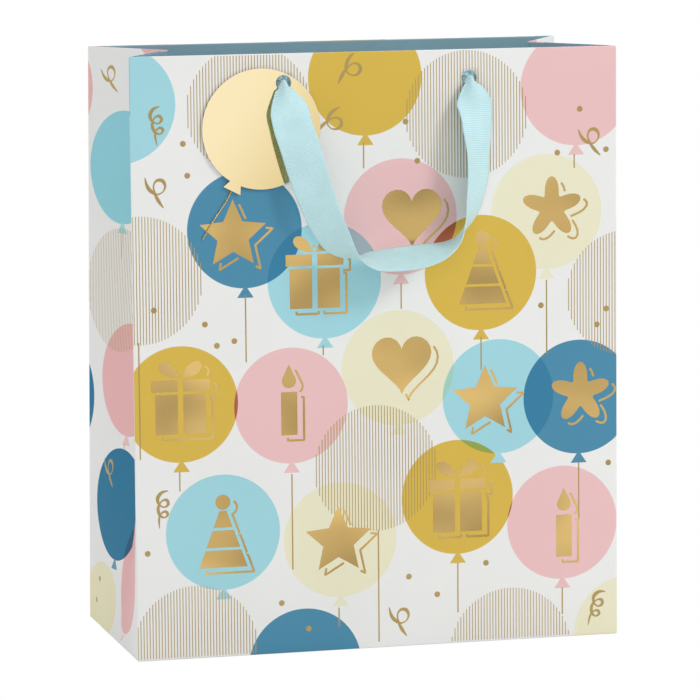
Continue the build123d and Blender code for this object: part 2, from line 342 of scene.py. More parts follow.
def printed_paper(name, balloons, u_start, finish):
    """Satin coated paper with round inks printed over one another. Places are in the sheet's own UVs."""
    shine, painted_ink_shade = finish
    material = new_material(name, PAPER_WHITE, 0.36, specular=shine)
    sheet = node(material, "ShaderNodeUVMap", uv_map="sheet").outputs["UV"]
    to_mm = {"Vector": sheet, "Location": (-u_start / MM, 0, 0), "Scale": (1 / MM, 1 / MM, 1)}
    place = node(material, "ShaderNodeMapping", to_mm).outputs["Vector"]
    colour = mix(material, 1.0, PAPER_WHITE, uneven(material, 0.97, 1.0, scale=14, detail=2))
    laid = []
    for ink, across, up in balloons:
        away = node(material, "ShaderNodeVectorMath", {0: place, 1: (across, up, 0)}, operation="DISTANCE")
        mask = remap(material, away.outputs["Value"], BALLOON_R + INK_EDGE, BALLOON_R - INK_EDGE)
        # Painted shade: a power above 1 darkens the inks on the side faces.
        colour = mix(material, mask, colour, tuple(part ** painted_ink_shade for part in INK[ink]))
        for other, centre, other_mask in laid:
            extra = OVERPRINT.get(frozenset((ink, other)))
            if extra and dist(centre, (across, up)) < 2 * BALLOON_R:
                both = node(material, "ShaderNodeMath", {0: mask, 1: other_mask}, operation="MULTIPLY")
                colour = mix(material, both.outputs["Value"], colour, extra)
        laid.append((ink, (across, up), mask))
    set_surface(material, colour, uneven(material, 0.33, 0.42, scale=60))
    add_bump(material, noise_value(material, scale=2600, detail=2), 0.02 * MM, strength=0.25)
    return material


def plain_paper(name, colour, roughness=0.55):
    material = new_material(name, colour, roughness)
    set_surface(material, mix(material, 1.0, colour, uneven(material, 0.94, 1.0, scale=25)),
                uneven(material, roughness - 0.05, roughness + 0.06, scale=80))
    add_bump(material, noise_value(material, scale=1500, detail=4), 0.03 * MM, strength=0.3)
    return material


def board_material():
    """Grey recycled board with fibre specks."""
    material = new_material("greyboard", BOARD_GREY, 0.85)
    fibre = uneven(material, 0.78, 1.08, scale=900, detail=5, roughness=0.7, stretch=(1, 3, 1))
    set_surface(material, mix(material, 1.0, BOARD_GREY, fibre))
    add_bump(material, noise_value(material, scale=1200, detail=4), 0.06 * MM, strength=0.5)
    return material


def foil_material(name, colour, roughness, painted_reflection_tones):
    """Hot-stamped foil with painted reflections: its colour brightens and darkens slowly over the sheet,
    standing in for reflections that change over the sheet's unevenness.
    """
    material = new_material(name, colour, roughness, metallic=1.0)
    # Painted reflection: a slow wander in the foil's colour.
    painted_reflection = uneven(material, *painted_reflection_tones, scale=17, detail=1, stretch=(1, 1, 1.5))
    set_surface(material, mix(material, 1.0, colour, painted_reflection),
                uneven(material, roughness * 0.9, roughness * 1.15, scale=60))
    return material


def tag_foil_material():
    """Mirror-like foil whose gold deepens down to the right: a painted reflection, standing in for a card
    that curves a little.
    """
    material = new_material("tag_foil", TAG_GOLD_AND_REFLECTION[0], 0.07, metallic=1.0)
    # Painted reflection: the gold blends from pale to deep along this slope.
    slope = Vector((0.80, 0.0, -0.60))
    down = node(material, "ShaderNodeVectorMath", {0: object_place(material), 1: slope},
                operation="DOT_PRODUCT")
    middle = slope.dot(TAG_PIVOT - Vector((0, TAG_PIVOT.y, TAG_HANG * MM)))
    before, after = (reach * TAG_RADIUS * MM for reach in TAG_REFLECTION_SPAN)
    share = remap(material, down.outputs["Value"], middle - before, middle + after,
                  interpolation_type="SMOOTHSTEP")
    set_surface(material, mix(material, share, *TAG_GOLD_AND_REFLECTION, blend="MIX"),
                uneven(material, 0.06, 0.08, scale=60))
    return material


def ribbon_material():
    """Polyester grosgrain: soft sheen, painted shade between the ribs, fine warp threads."""
    material = new_material("ribbon", RIBBON_BLUE, 0.55)
    principled(material).inputs["Sheen Weight"].default_value = 0.35
    principled(material).inputs["Sheen Roughness"].default_value = 0.4
    along = node(material, "ShaderNodeUVMap", uv_map="ribbon").outputs["UV"]

    def bands(direction, pitch):
        """Waves a pitch apart; the texture has 20 / (2 pi) of them to a unit at scale 1."""
        waves = {"Vector": along, "Scale": 2 * pi / (20 * pitch * MM)}
        made = node(material, "ShaderNodeTexWave", waves, wave_type="BANDS", bands_direction=direction)
        return made.outputs["Fac"]

    # Painted shade: the colour darkens between the ribs.
    ribbed = mix(material, 1.0, RIBBON_BLUE, remap(material, bands("X", RIB_PITCH), 0, 1, 0.80, 1))
    set_surface(material, mix(material, 1.0, ribbed, uneven(material, 0.95, 1.03, scale=90)))
    add_bump(material, bands("Y", WARP_PITCH), 0.03 * MM, strength=0.4)
    return material


def thread_material():
    """Metallic yarn: short bright and dark glints along the plies."""
    material = new_material("metallic_thread", THREAD_GOLD, 0.3, metallic=1.0)
    glint = uneven(material, 0.55, 1.15, scale=1800, detail=2)
    set_surface(material, mix(material, 1.0, THREAD_GOLD, glint))
    return material


def floor_material():
    """White sweep: seen as pure white by the camera and in the foil, a matt white for the rest."""
    material = new_material("floor", FLOOR_WHITE, 0.9)
    rays = node(material, "ShaderNodeLightPath").outputs
    seen = node(material, "ShaderNodeMath", {0: rays["Is Camera Ray"], 1: rays["Is Glossy Ray"]},
                operation="MAXIMUM")
    glow = node(material, "ShaderNodeEmission")
    both = node(material, "ShaderNodeMixShader", {0: seen.outputs["Value"], 2: glow.outputs["Emission"],
                                                  1: principled(material).outputs["BSDF"]})
    link(material, both.outputs["Shader"], material.node_tree.nodes["Material Output"].inputs["Surface"])
    return material


# ---- the folded sheet
WIDTH = 2 * HALF_W
U_FRONT = 0.0
U_RIGHT = WIDTH
U_BACK = WIDTH + DEPTH
U_LEFT = 2 * WIDTH + DEPTH
U_END = 2 * (WIDTH + DEPTH)
CORNER_U = (U_FRONT, U_RIGHT, U_RIGHT + DEPTH / 2, U_BACK, U_LEFT, U_LEFT + DEPTH / 2, U_END)
FOLD = 1.2 * MM  # half the rounded width of a fold
FOLD_STEPS = 4
FOLD_CLEAR = 1.8 * FOLD  # plain columns start this far from a fold
WAVE = 0.45 * MM  # how far a wall bows
GUSSET_WAVE = 1.6 * WAVE
BULGE = 0.35  # the share of that at its middle height
# Slow and quick waves in a wall: size, how many to a metre across and up, seed.
RIPPLES = [(0.9, 11, 8, 3.1), (0.25, 30, 22, 7.7)]
SHARP = radians(35)
GRID = 4 * MM
HOLE_BOX = 6 * MM  # half the square of the grid that gives way to a round hole
HOLE_GRID = HOLE_BOX / 3
BOX_REACH = 1.001 * HOLE_BOX  # takes in the lines on the square's edge
HOLE_Z = FRONT_PIVOT.z
HOLES_U = [start + HALF_W + side * HOLE_X for start in (U_FRONT, U_BACK) for side in (-1, 1)]
# Rows of the sheet's rounded foot: millimetres up, and inside the outer face.
FOOT = [(0.06, 0.55), (0.14, 0.34), (0.32, 0.14), (0.6, 0.04)]
# Rows of its lip: millimetres down, and inside, and the share of the hem's depth that is added.
LIP = [(0.35, 0.03, 0.0), (0.1, 0.14, 0.0), (0.02, 0.3, 0.0), (0.0, 0.0, 0.5), (0.005, -0.2, 1.0),
       (0.08, -0.06, 1.0), (0.25, 0.0, 1.0)]
WALL_LOW, WALL_HIGH = 1.2 * MM, HEIGHT - 0.8 * MM  # the plain rows between them
HEM_AT_SIDE = 0.72 * MM  # the turned-in edge lies against the paper at the sides
HEM_OVER_CARD = 1.44 * MM  # and over a card at the front and back
HEM_STEP = (5 * MM, 4 * MM)  # it rises from this far short of the fold, over this width
TURN_IN = 0.28 * MM
TURN_IN_LIP = (0.27, 0.8)  # its first two rows, millimetres below the rim
TURN_IN_EVEN = 3 * MM  # where its even rows start


def turns(count):
    """Angles evenly round a full turn."""
    return [2 * pi * k / count for k in range(count)]


def clamp(value):
    return min(max(value, 0.0), 1.0)


def tuck(z):
    """How far a gusset's crease is pushed in at height z."""
    z = max(z, 0.0)
    return TUCK * (z * z / (z + TUCK_EASE) * (HEIGHT + TUCK_EASE) / HEIGHT ** 2) ** TUCK_CURVE


def plan_corners(z):
    """Corners of the walls at height z, from the front left, seen from above."""
    back = BACK_Y - BACK_LEAN * z / HEIGHT
    crease = (back + FRONT_Y) / 2
    inner = HALF_W - tuck(z)
    return [Vector((-HALF_W, FRONT_Y)), Vector((HALF_W, FRONT_Y)), Vector((inner, crease)),
            Vector((HALF_W, back)), Vector((-HALF_W, back)), Vector((-inner, crease)),
            Vector((-HALF_W, FRONT_Y))]


def plan_point(u, z):
    """Point on the outer face in plan, with the folds rounded."""
    u %= U_END
    corners = plan_corners(z)

    def straight(at):
        at %= U_END
        i = next(i for i in range(6) if at <= CORNER_U[i + 1])
        share = (at - CORNER_U[i]) / (CORNER_U[i + 1] - CORNER_U[i])
        return corners[i].lerp(corners[i + 1], share)

    for corner_u, corner in zip(CORNER_U, corners):
        if abs(u - corner_u) < FOLD:
            t = (u - corner_u + FOLD) / (2 * FOLD)
            start, end = straight(corner_u - FOLD), straight(corner_u + FOLD)
            return start * (1 - t) ** 2 + corner * 2 * t * (1 - t) + end * t * t
    return straight(u)


def bow(u, z):
    """A wall's slight bow and waviness, outward, nothing at folds, base and rim."""
    u %= U_END
    low, high = next((low, high) for low, high in zip(CORNER_U, CORNER_U[1:]) if u <= high)
    across = sin(pi * (u - low) / (high - low))
    up = sin(pi * clamp(z / HEIGHT))
    size = WAVE if high - low > DEPTH else GUSSET_WAVE
    waves = sum(share * noise.noise(Vector((u * wide, z * tall, seed)))
                for share, wide, tall, seed in RIPPLES)
    return size * across * (BULGE * up + waves) * min(1.0, across * 2)


def sheet_point(u, z, inset=0.0):
    """A point of the bag's wall, `inset` inside its outer face."""
    step = 0.2 * MM
    here = plan_point(u, z)
    along = (plan_point(u + step, z) - plan_point(u - step, z)).normalized()
    outward = Vector((along.y, -along.x))
    here = here + outward * (bow(u, z) - inset)
    return Vector((here.x, here.y, z))


def in_hole_box(u, z):
    return abs(z - HOLE_Z) < HOLE_BOX and any(abs(u - hole) < HOLE_BOX for hole in HOLES_U)


def spaced(start, end, pitch):
    count = max(1, round((end - start) / pitch))
    return [start + (end - start) * i / count for i in range(count + 1)]


def columns():
    """Places round the sheet: close together at the folds, even about the holes."""
    found = []
    for low, high in zip(CORNER_U, CORNER_U[1:]):
        holes = [u for u in HOLES_U if low < u < high]
        box_edges = [u + side for u in holes for side in (-HOLE_BOX, HOLE_BOX)]
        marks = [low + FOLD_CLEAR] + box_edges + [high - FOLD_CLEAR]
        found += [low + FOLD * k / FOLD_STEPS for k in range(FOLD_STEPS + 1)]
        for start, end in zip(marks, marks[1:]):
            across_hole = any(start < u < end for u in holes)
            found += spaced(start, end, HOLE_GRID if across_hole else GRID)[:-1]
        found.append(marks[-1])
        found += [high - FOLD * k / FOLD_STEPS for k in range(FOLD_STEPS, 0, -1)]
    return found + [U_END]


def levels(low, high):
    """Heights of the rows, even about the holes."""
    below, above = HOLE_Z - HOLE_BOX, HOLE_Z + HOLE_BOX
    return spaced(low, below, GRID)[:-1] + spaced(below, above, HOLE_GRID)[:-1] + spaced(above, high, GRID)


def add_object(name, mesh, body, materials):
    for material in materials:
        mesh.materials.append(material)
    obj = new_object(name, mesh)
    if body:
        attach(obj, body)
    return obj


def smooth(mesh):
    mesh.polygons.foreach_set("use_smooth", [True] * len(mesh.polygons))


def mesh_from(name, bm):
    mesh = bpy.data.meshes.new(name)
    bm.to_mesh(mesh)
    bm.free()
    return mesh


def mesh_with_uvs(name, points, faces, layer_name, uvs):
    """A smooth mesh; uvs has one place for each corner of each face."""
    mesh = bpy.data.meshes.new(name)
    mesh.from_pydata(points, [], faces)
    layer = mesh.uv_layers.new(name=layer_name)
    for loop, uv in zip(layer.data, uvs):
        loop.uv = uv
    smooth(mesh)
    return mesh


def ring_mesh(name, rows):
    """A closed band round the bag, with its four holes; rows are (height, inset as a function of u)."""
    us = columns()
    count = len(us) - 1
    points = [sheet_point(u, z, inset(u)) for z, inset in rows for u in us[:-1]]
    faces = []
    for r in range(len(rows) - 1):
        for c in range(count):
            middle = ((us[c] + us[c + 1]) / 2, (rows[r][0] + rows[r + 1][0]) / 2)
            if not in_hole_box(*middle):
                faces.append([(row * count + col % count, (us[col], rows[row][0]))
                              for col, row in ((c, r), (c + 1, r), (c + 1, r + 1), (c, r + 1))])
    box_rows = [r for r, (z, _) in enumerate(rows) if abs(z - HOLE_Z) < BOX_REACH]
    for hole in HOLES_U:
        box_columns = [c for c, u in enumerate(us) if abs(u - hole) < BOX_REACH]
        faces += hole_faces(hole, us, rows, box_columns, box_rows, points)
    mesh = mesh_with_uvs(name, points, [[index for index, _ in face] for face in faces], "sheet",
                         (uv for face in faces for _, uv in face))
    return mesh, [sum(uv[0] for _, uv in face) / 4 for face in faces]


def hole_faces(hole, us, rows, box_columns, box_rows, points):
    """Faces between a square of the grid and the round hole in it; adds the hole's points."""
    count = len(us) - 1
    left, right, low, high = box_columns[0], box_columns[-1], box_rows[0], box_rows[-1]
    border = [(c, low) for c in range(left, right)] + [(right, r) for r in range(low, high)]
    border += [(c, high) for c in range(right, left, -1)] + [(left, r) for r in range(high, low, -1)]
    inset = rows[low][1](hole)
    outer, inner = [], []
    for c, r in border:
        u, z = us[c], rows[r][0]
        angle = atan2(z - HOLE_Z, u - hole)
        rim = (hole + HOLE_RADIUS * cos(angle), HOLE_Z + HOLE_RADIUS * sin(angle))
        outer.append((r * count + c, (u, z)))
        inner.append((len(points), rim))
        points.append(sheet_point(*rim, inset))
    return [[outer[i - 1], outer[i], inner[i], inner[i - 1]] for i in range(len(border))]


def face_at(u):
    """0 front, 1 right, 2 back, 3 left."""
    return sum(u > start for start in (U_RIGHT, U_BACK, U_LEFT))


def turn_faces(bm, towards):
    """Turns every face of a flat mesh to look this way."""
    for face in bm.faces:
        face.normal_update()
        if face.normal.dot(towards) < 0:
            face.normal_flip()


def thicken(obj, thickness, inner_slot=0):
    """Gives a sheet its thickness, inward, as part of its mesh."""
    thick = obj.modifiers.new("paper", "SOLIDIFY")
    thick.thickness = thickness
    thick.offset = -1
    thick.material_offset = inner_slot
    thick.material_offset_rim = inner_slot
    graph = bpy.context.evaluated_depsgraph_get()
    made = bpy.data.meshes.new_from_object(obj.evaluated_get(graph))
    obj.modifiers.clear()
    obj.data = made


def hem_depth(u):
    """How deep the turned-in edge lies inside the outer face."""
    u %= U_END
    side = min(abs(u - (U_RIGHT + DEPTH / 2)), abs(u - (U_LEFT + DEPTH / 2)))
    share = clamp((side - DEPTH / 2 + HEM_STEP[0]) / HEM_STEP[1])
    share = share * share * (3 - 2 * share)
    return HEM_AT_SIDE + (HEM_OVER_CARD - HEM_AT_SIDE) * share


def make_walls(prints, inside):
    """One folded sheet with rounded folds, printed outside and plain inside, folded in at the top."""

    def inset(deep, hem):
        return lambda u: deep * MM + hem * hem_depth(u)

    rows = [(up * MM, inset(deep, 0.0)) for up, deep in FOOT]
    rows += [(z, inset(0.0, 0.0)) for z in levels(WALL_LOW, WALL_HIGH)]
    rows += [(HEIGHT - down * MM, inset(deep, hem)) for down, deep, hem in LIP]
    mesh, places = ring_mesh("bag_walls", rows)
    for polygon, u in zip(mesh.polygons, places):
        polygon.material_index = face_at(u)
    walls = add_object("bag_walls", mesh, "bag", prints + [inside])
    thicken(walls, PAPER, inner_slot=len(prints))
    for vertex in walls.data.vertices:
        vertex.co.z = min(max(vertex.co.z, 0.0), HEIGHT)
    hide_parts("front_panel", "back_panel", "left_gusset_front", "left_gusset_back",
                "right_gusset_front", "right_gusset_back")


def make_turn_in(material):
    """The top edge folded inside, in the lining colour."""
    heights = [HEIGHT - down * MM for down in TURN_IN_LIP] + levels(HEM_LOW, HEIGHT - TURN_IN_EVEN)[::-1]
    mesh, _ = ring_mesh("hem_turn_in", [(z, hem_depth) for z in heights])
    obj = add_object("hem_turn_in", mesh, "bag", [material])
    thicken(obj, TURN_IN)
    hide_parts("front_turn_in", "back_turn_in", "left_turn_in_front", "left_turn_in_back",
                "right_turn_in_front", "right_turn_in_back")


# ---- flat shapes printed on the sheet
LAYERS = 24  # shapes that cross lie a hair apart
LAYER_STEP = 0.0004 * MM
PRINT_GRID = 6 * MM
PRINT_SUNK = 0.03 * MM  # how far the print reaches into the sheet
PRINT_EDGES = (0.1 * MM, 1.0 * MM, 0.5 * MM)  # what it leaves free at the folds, base and rim
HOLE_CLEAR = 0.1 * MM  # and round a hole
LOW_ROWS = 32 * MM  # below this the gussets curve most, and the print follows the walls row by row


def cut(bm, place, normal, clear=False):
    """Parts every face along a plane, and clears what lies beyond it."""
    everything = bm.verts[:] + bm.edges[:] + bm.faces[:]
    bmesh.ops.bisect_plane(bm, geom=everything, plane_co=place, plane_no=normal, clear_outer=clear)


def print_flat(name, shapes, u_start, width, material, lift):
    """Thin shapes, outlines in metres on one face, cut to that face and laid on the bowed sheet."""
    bm = bmesh.new()
    for i, outline in enumerate(shapes):
        layer = (i % LAYERS) * LAYER_STEP
        bm.faces.new([bm.verts.new((x, y, layer)) for x, y in outline])
    fold, base, rim = PRINT_EDGES
    cut(bm, (fold, 0, 0), (-1, 0, 0), clear=True)
    cut(bm, (width - fold, 0, 0), (1, 0, 0), clear=True)
    cut(bm, (0, base, 0), (0, -1, 0), clear=True)
    cut(bm, (0, HEIGHT - rim, 0), (0, 1, 0), clear=True)
    for x in spaced(0, width, PRINT_GRID)[1:-1]:
        cut(bm, (x, 0, 0), (1, 0, 0))
    low_rows = [z for z in levels(WALL_LOW, WALL_HIGH) if z < LOW_ROWS]
    for y in low_rows + [z for z in spaced(0, HEIGHT, PRINT_GRID) if LOW_ROWS < z < HEIGHT]:
        cut(bm, (0, y, 0), (0, 1, 0))
    for hole in HOLES_U:
        if u_start < hole < u_start + width:
            cut_hole(bm, Vector((hole - u_start, HOLE_Z, 0)))
    bmesh.ops.triangulate(bm, faces=[f for f in bm.faces if len(f.verts) > 4])
    turn_faces(bm, Vector((0, 0, 1)))
    for vert in bm.verts:
        vert.co = sheet_point(u_start + vert.co.x, vert.co.y, -lift - vert.co.z)
    mesh = mesh_from(name, bm)
    smooth(mesh)
    obj = add_object(name, mesh, "bag", [material])
    thicken(obj, lift + PRINT_SUNK)
    obj.data.set_sharp_from_angle(angle=SHARP)


def cut_hole(bm, centre):
    """Clears flat shapes from an octagon about a ribbon hole."""
    sides = [Vector((cos(a), sin(a), 0)) for a in turns(8)]
    reach = HOLE_RADIUS + HOLE_CLEAR
    for side in sides:
        cut(bm, centre + side * reach, side)
    inside = [face for face in bm.faces
              if all((face.calc_center_median() - centre).dot(side) < reach for side in sides)]
    bmesh.ops.delete(bm, geom=inside, context="FACES")


def arc(x, y, radius, start, end, count):
    """Points along an arc, angles in degrees."""
    angles = [radians(start + (end - start) * k / count) for k in range(count + 1)]
    return [(x + radius * cos(a), y + radius * sin(a)) for a in angles]


def circle(x, y, radius, count=20):
    return arc(x, y, radius, 0, 360, count)[:-1]


def neighbours(loop):
    """Each point with the next one, right round."""
    return zip(loop, loop[1:] + loop[:1])


def rectangle(left, low, right, high):
    return [(left, low), (right, low), (right, high), (left, high)]


def stripes(x, y, thick):
    """Vertical lines that fill a round balloon."""
    count = int(STRIPED_R / STRIPE_PITCH)
    for across in (k * STRIPE_PITCH for k in range(-count, count + 1)):
        half = sqrt(STRIPED_R ** 2 - across ** 2)
        yield rectangle(x + across - thick / 2, y - half, x + across + thick / 2, y + half)


# A streamer's middle line and width, millimetres: one loop, or two coils.
STREAMERS = [
    [(-5.5, 7.6, 0.5), (-4.7, 4.0, 1.5), (-2.8, 1.0, 1.9), (0.4, -0.9, 1.0), (3.5, 0.3, 0.7),
     (4.7, 3.2, 1.3), (3.3, 5.9, 1.9), (0.4, 6.0, 1.3), (-1.2, 3.4, 0.8), (-0.6, -0.4, 1.2),
     (1.2, -4.2, 1.8), (3.7, -7.8, 0.5)],
    [(3.0, 9.6, 0.5), (-0.4, 8.8, 1.6), (-2.5, 6.0, 1.9), (-1.8, 2.8, 1.1), (0.9, 1.3, 0.8),
     (2.9, 2.8, 1.5), (2.0, 5.0, 1.5), (-0.7, 4.2, 0.8), (-2.3, 1.0, 1.5), (-1.5, -2.6, 1.5),
     (1.0, -4.0, 0.8), (2.6, -2.4, 1.4), (1.4, -0.9, 1.3), (-1.0, -2.0, 0.8), (-1.9, -5.0, 1.1),
     (-1.7, -9.4, 0.4)],
]


def catmull(points, steps):
    """A smooth line through the points, each gap between them in so many steps."""
    last = len(points) - 1
    fine = []
    for i in range(last):
        ends = (points[max(0, min(last, i + k))] for k in (-1, 0, 1, 2))
        terms = [(2 * b, c - a, 2 * a - 5 * b + 4 * c - d, 3 * b - a - 3 * c + d)
                 for a, b, c, d in zip(*ends)]
        for t in (k / steps for k in range(steps)):
            fine.append([0.5 * (p + q * t + r * t * t + s * t ** 3) for p, q, r, s in terms])
    return fine + [list(points[-1])]


def ribbon_shape(points, widths):
    """Quads along a line of points, as wide as widths says at each."""
    sides = []
    for i, (x, y) in enumerate(points):
        ax, ay = points[max(i - 1, 0)]
        bx, by = points[min(i + 1, len(points) - 1)]
        length = hypot(bx - ax, by - ay) or 1.0
        nx, ny = -(by - ay) / length * widths[i] / 2, (bx - ax) / length * widths[i] / 2
        sides.append(((x - nx, y - ny), (x + nx, y + ny)))
    return [[a[0], b[0], b[1], a[1]] for a, b in zip(sides, sides[1:])]


def curl(x, y, turn, kind):
    """A small party streamer, brush-like in width."""
    fine = catmull(STREAMERS[kind], 4)
    c, s = cos(radians(turn)), sin(radians(turn))
    placed = [(x + px * c - py * s, y + px * s + py * c) for px, py, _ in fine]
    return ribbon_shape(placed, [width for _, _, width in fine])


# ---- generic party motifs, about 34 mm tall, centred
def polar(count, radius, drop=0.0):
    """A closed outline of count points, clockwise from the top; radius(k) is the reach of point k."""
    return [(radius(k) * sin(a), radius(k) * cos(a) - drop) for k, a in enumerate(turns(count))]


def star():
    """Five points, tips and notches by turns."""
    return [polar(10, lambda k: 8.4 if k % 2 else 18.0, drop=1.5)]


def flower():
    """Five petals."""
    return [polar(60, lambda k: 11.5 + 4.6 * cos(5 * 2 * pi * k / 60))]


def heart():
    """The common heart curve, a little narrower and taller."""
    return [[(15.68 * sin(a) ** 3, 13.5 * cos(a) - 5 * cos(2 * a) - 2 * cos(3 * a) - cos(4 * a) + 1.5)
             for a in turns(40)]]


def bow_loop(side):
    """One pointed loop of a bow, from the middle of the lid."""
    foot, lid = 0.5, 11.4
    loop = [(foot, lid)]
    for share in (k / 16 for k in range(1, 16)):
        angle, reach = radians(4 + 64 * share), 12.5 * sin(pi * share) ** 0.55
        loop.append((foot + reach * cos(angle), lid + reach * sin(angle)))
    return [(side * x, y) for x, y in loop][::side]


def present():
    """Box and lid, each parted by a band, and a bow."""
    halves = []
    for side in (-1, 1):
        for low, far, high in ((-17, 13, 3.2), (4.6, 15, 10.5)):
            halves.append([(side * x, y) for x, y in rectangle(1.4, low, far, high)][::side])
        halves.append(bow_loop(side))
    return halves


def hat():
    """A cone in three bands with a pompom."""
    bands = []
    for low, high in ((-17, -8.2), (-6.8, 2.0), (3.4, 12)):
        near, far = (12.5 - 10.7 * (z + 17) / 29 for z in (low, high))
        bands.append([(-near, low), (near, low), (far, high), (-far, high)])
    return bands + [circle(0, 16.4, 3.9)]


def candle():
    flame = [(0, 19)] + arc(0, 10.6, 3.7, 20, -200, 12)
    return [rectangle(-4.2, -17, 4.2, 5), flame]


MOTIFS = {"star": star, "heart": heart, "flower": flower, "present": present, "hat": hat, "candle": candle}
DROP = (3.4, -2.8)  # the fine outline is set off by this much
DROP_GAP = 1.3  # shows where it is this far from the motif
DROP_OVERLAP = 0.3  # and no deeper than this inside another part's
DROP_LINE = 1.15  # and is this wide
DROP_STEP = 0.7


def distance_to(outlines, x, y):
    """Distance from a point to the outlines; negative inside one."""
    nearest, inside = inf, False
    for outline in outlines:
        crossings = False
        for (ax, ay), (bx, by) in neighbours(outline):
            dx, dy = bx - ax, by - ay
            t = clamp(((x - ax) * dx + (y - ay) * dy) / (dx * dx + dy * dy + 1e-12))
            nearest = min(nearest, hypot(x - ax - t * dx, y - ay - t * dy))
            if (ay > y) != (by > y) and x < ax + (y - ay) / (by - ay) * dx:
                crossings = not crossings
        inside = inside or crossings
    return -nearest if inside else nearest


def moved(outline, right, up):
    return [(x + right, y + up) for x, y in outline]


def drop_lines(outlines):
    """The parts of the shifted outline that show past the motif, as thin quads."""
    quads = []
    for outline in outlines:
        line = []
        for (ax, ay), (bx, by) in neighbours(outline):
            steps = max(1, int(hypot(bx - ax, by - ay) / DROP_STEP))
            line += [(ax + (bx - ax) * k / steps, ay + (by - ay) * k / steps) for k in range(steps)]
        line = moved(line, *DROP)
        others = [moved(other, *DROP) for other in outlines if other is not outline]
        clear = [distance_to(outlines, x, y) > DROP_GAP and distance_to(others, x, y) > -DROP_OVERLAP
                 for x, y in line]
        first = next((i for i in range(len(line)) if clear[i] and not clear[i - 1]), 0)
        run = []
        for i in [*range(first, len(line)), *range(first), None]:
            if i is not None and clear[i]:
                run.append(line[i])
                continue
            if len(run) > 2:
                quads += ribbon_shape(run, [DROP_LINE] * len(run))
            run = []
    return quads


def tie(x, y):
    """The little triangle under a balloon."""
    edge = y - BALLOON_R
    (foot, drop), (top, rise) = TIE_FOOT, TIE_TOP
    return [(x - foot, edge - drop), (x + foot, edge - drop), (x + top, edge + rise), (x - top, edge + rise)]


def print_face(name, u_start, width, centre, rows, foils, inks):
    """All the raised foil and the balloon ties of one face; places are measured from `centre` mm."""
    balloons, striped, strings, dots, curls, motifs = rows

    def lay(part, shapes, material, lift):
        placed = [[(x * MM, y * MM) for x, y in moved(shape, centre, 0.0)] for shape in shapes]
        print_flat(f"{name}_{part}", placed, u_start, width, material, LIFT[lift] * MM)

    for ink in dict.fromkeys(ink for ink, _, _ in balloons):
        lay(f"tie_{ink}", [tie(x, y) for other, x, y in balloons if other == ink], inks[ink], "tie")
    thick = STRIPE_WIDTH if width > DEPTH else SIDE_STRIPE
    lay("stripes", [line for x, y in striped for line in stripes(x, y, thick)], foils["fine"], "stripes")
    half = STRING_WIDTH / 2
    fine = [rectangle(x - half, low, x + half, high) for x, high, low in strings]
    fine += [circle(x, y, DOT_R) for x, y in dots]
    fine += [quad for row in curls for quad in curl(*row)]
    lay("strings_and_dots", fine, foils["fine"], "fine")
    solid = []
    for kind, x, y in motifs:
        shapes = MOTIFS[kind]()
        solid += [moved(shape, x, y) for shape in shapes + drop_lines(shapes)]
    if solid:
        lay("motifs", solid, foils["motifs"], "motifs")


# ---- ribbons
RIB_STEPS = 4  # stations to a rib
PLEATS = 1  # folds of the gathered ribbon at its holes
PLEAT_SHARE = 0.36  # the fold is pressed flatter than the ribbon's full width needs
ACROSS = 24
PLEAT_LIMIT = 6 * MM  # deeper than any fold
PLEAT_POINTS = 40
PLEAT_ROUNDS = 14  # each halves what is left of the range
CUP = 0.5  # unevenness of the open ribbon, millimetres
CUP_WAVES = (30, 1.5, 4.2)  # how many to a metre along it, how many across it, seed
NECK = 9 * MM  # stays gathered this far from each end
NECK_TURN = 6 * MM  # then turns to face outward over this length
# The way out of the left hole and over, and back in at the right: right of the hole, out, below.
HOLE_PASS = [(0, -4.0, 0.8), (0, -1.5, 0.6), (0, 0.8, 0.4), (0, 2.8, 0.4), (0, 4.4, 1.1)]
NECK_OUT = HOLE_PASS + [(0.2, 5.1, 3.0), (0.4, 5.2, 6.0)]
NECK_IN = [(0.9, 5.4, 9.6), (0.5, 5.2, 6.0), (0.1, 5.1, 3.0)] + HOLE_PASS[::-1]


def evenly(path, step):
    """Even steps along a path: (distance, the point before, share of the way to the next); its length."""
    lengths = [0.0]
    for a, b in zip(path, path[1:]):
        lengths.append(lengths[-1] + (b - a).length)
    count = round(lengths[-1] / step)
    marks, i = [], 0
    for k in range(count + 1):
        at = lengths[-1] * k / count
        while i < len(lengths) - 2 and lengths[i + 1] < at:
            i += 1
        marks.append((at, i, (at - lengths[i]) / (lengths[i + 1] - lengths[i])))
    return marks, lengths[-1]


def handle_stations():
    """Evenly spaced (distance, point, twist) along the ribbon, about the hole line, and its length."""
    left, right = ([(side * HOLE_X / MM + x, out, drop, 0.0) for x, out, drop in neck]
                   for side, neck in ((-1, NECK_OUT), (1, NECK_IN)))
    fine = catmull(left + HANDLE_ROUTE + right, 24)
    places = [Vector((x, -out, -drop)) * MM for x, out, drop, _ in fine]
    marks, total = evenly(places, RIB_PITCH * MM / RIB_STEPS)
    stations = []
    for at, i, t in marks:
        twist = fine[i][3] * (1 - t) + fine[i + 1][3] * t
        stations.append((at, places[i].lerp(places[i + 1], t), radians(twist)))
    return stations, total


def pleat_depth(width):
    """Amplitude of the folds that gather the full ribbon into this width, both in metres."""
    low, high = 0.0, PLEAT_LIMIT
    shares = [k / PLEAT_POINTS for k in range(PLEAT_POINTS + 1)]
    for _ in range(PLEAT_ROUNDS):
        middle = (low + high) / 2
        points = [(width * t, middle * cos(2 * pi * PLEATS * t)) for t in shares]
        length = sum(dist(a, b) for a, b in zip(points, points[1:]))
        low, high = (middle, high) if length < RIBBON_WIDTH * MM else (low, middle)
    return low


def half_thickness(at):
    """Half the ribbon's thickness at this distance along it, rib by rib."""
    return RIBBON / 2 * MM + RIB_HEIGHT * MM * (sin(pi * at / (RIB_PITCH * MM)) ** 2 - 0.5)


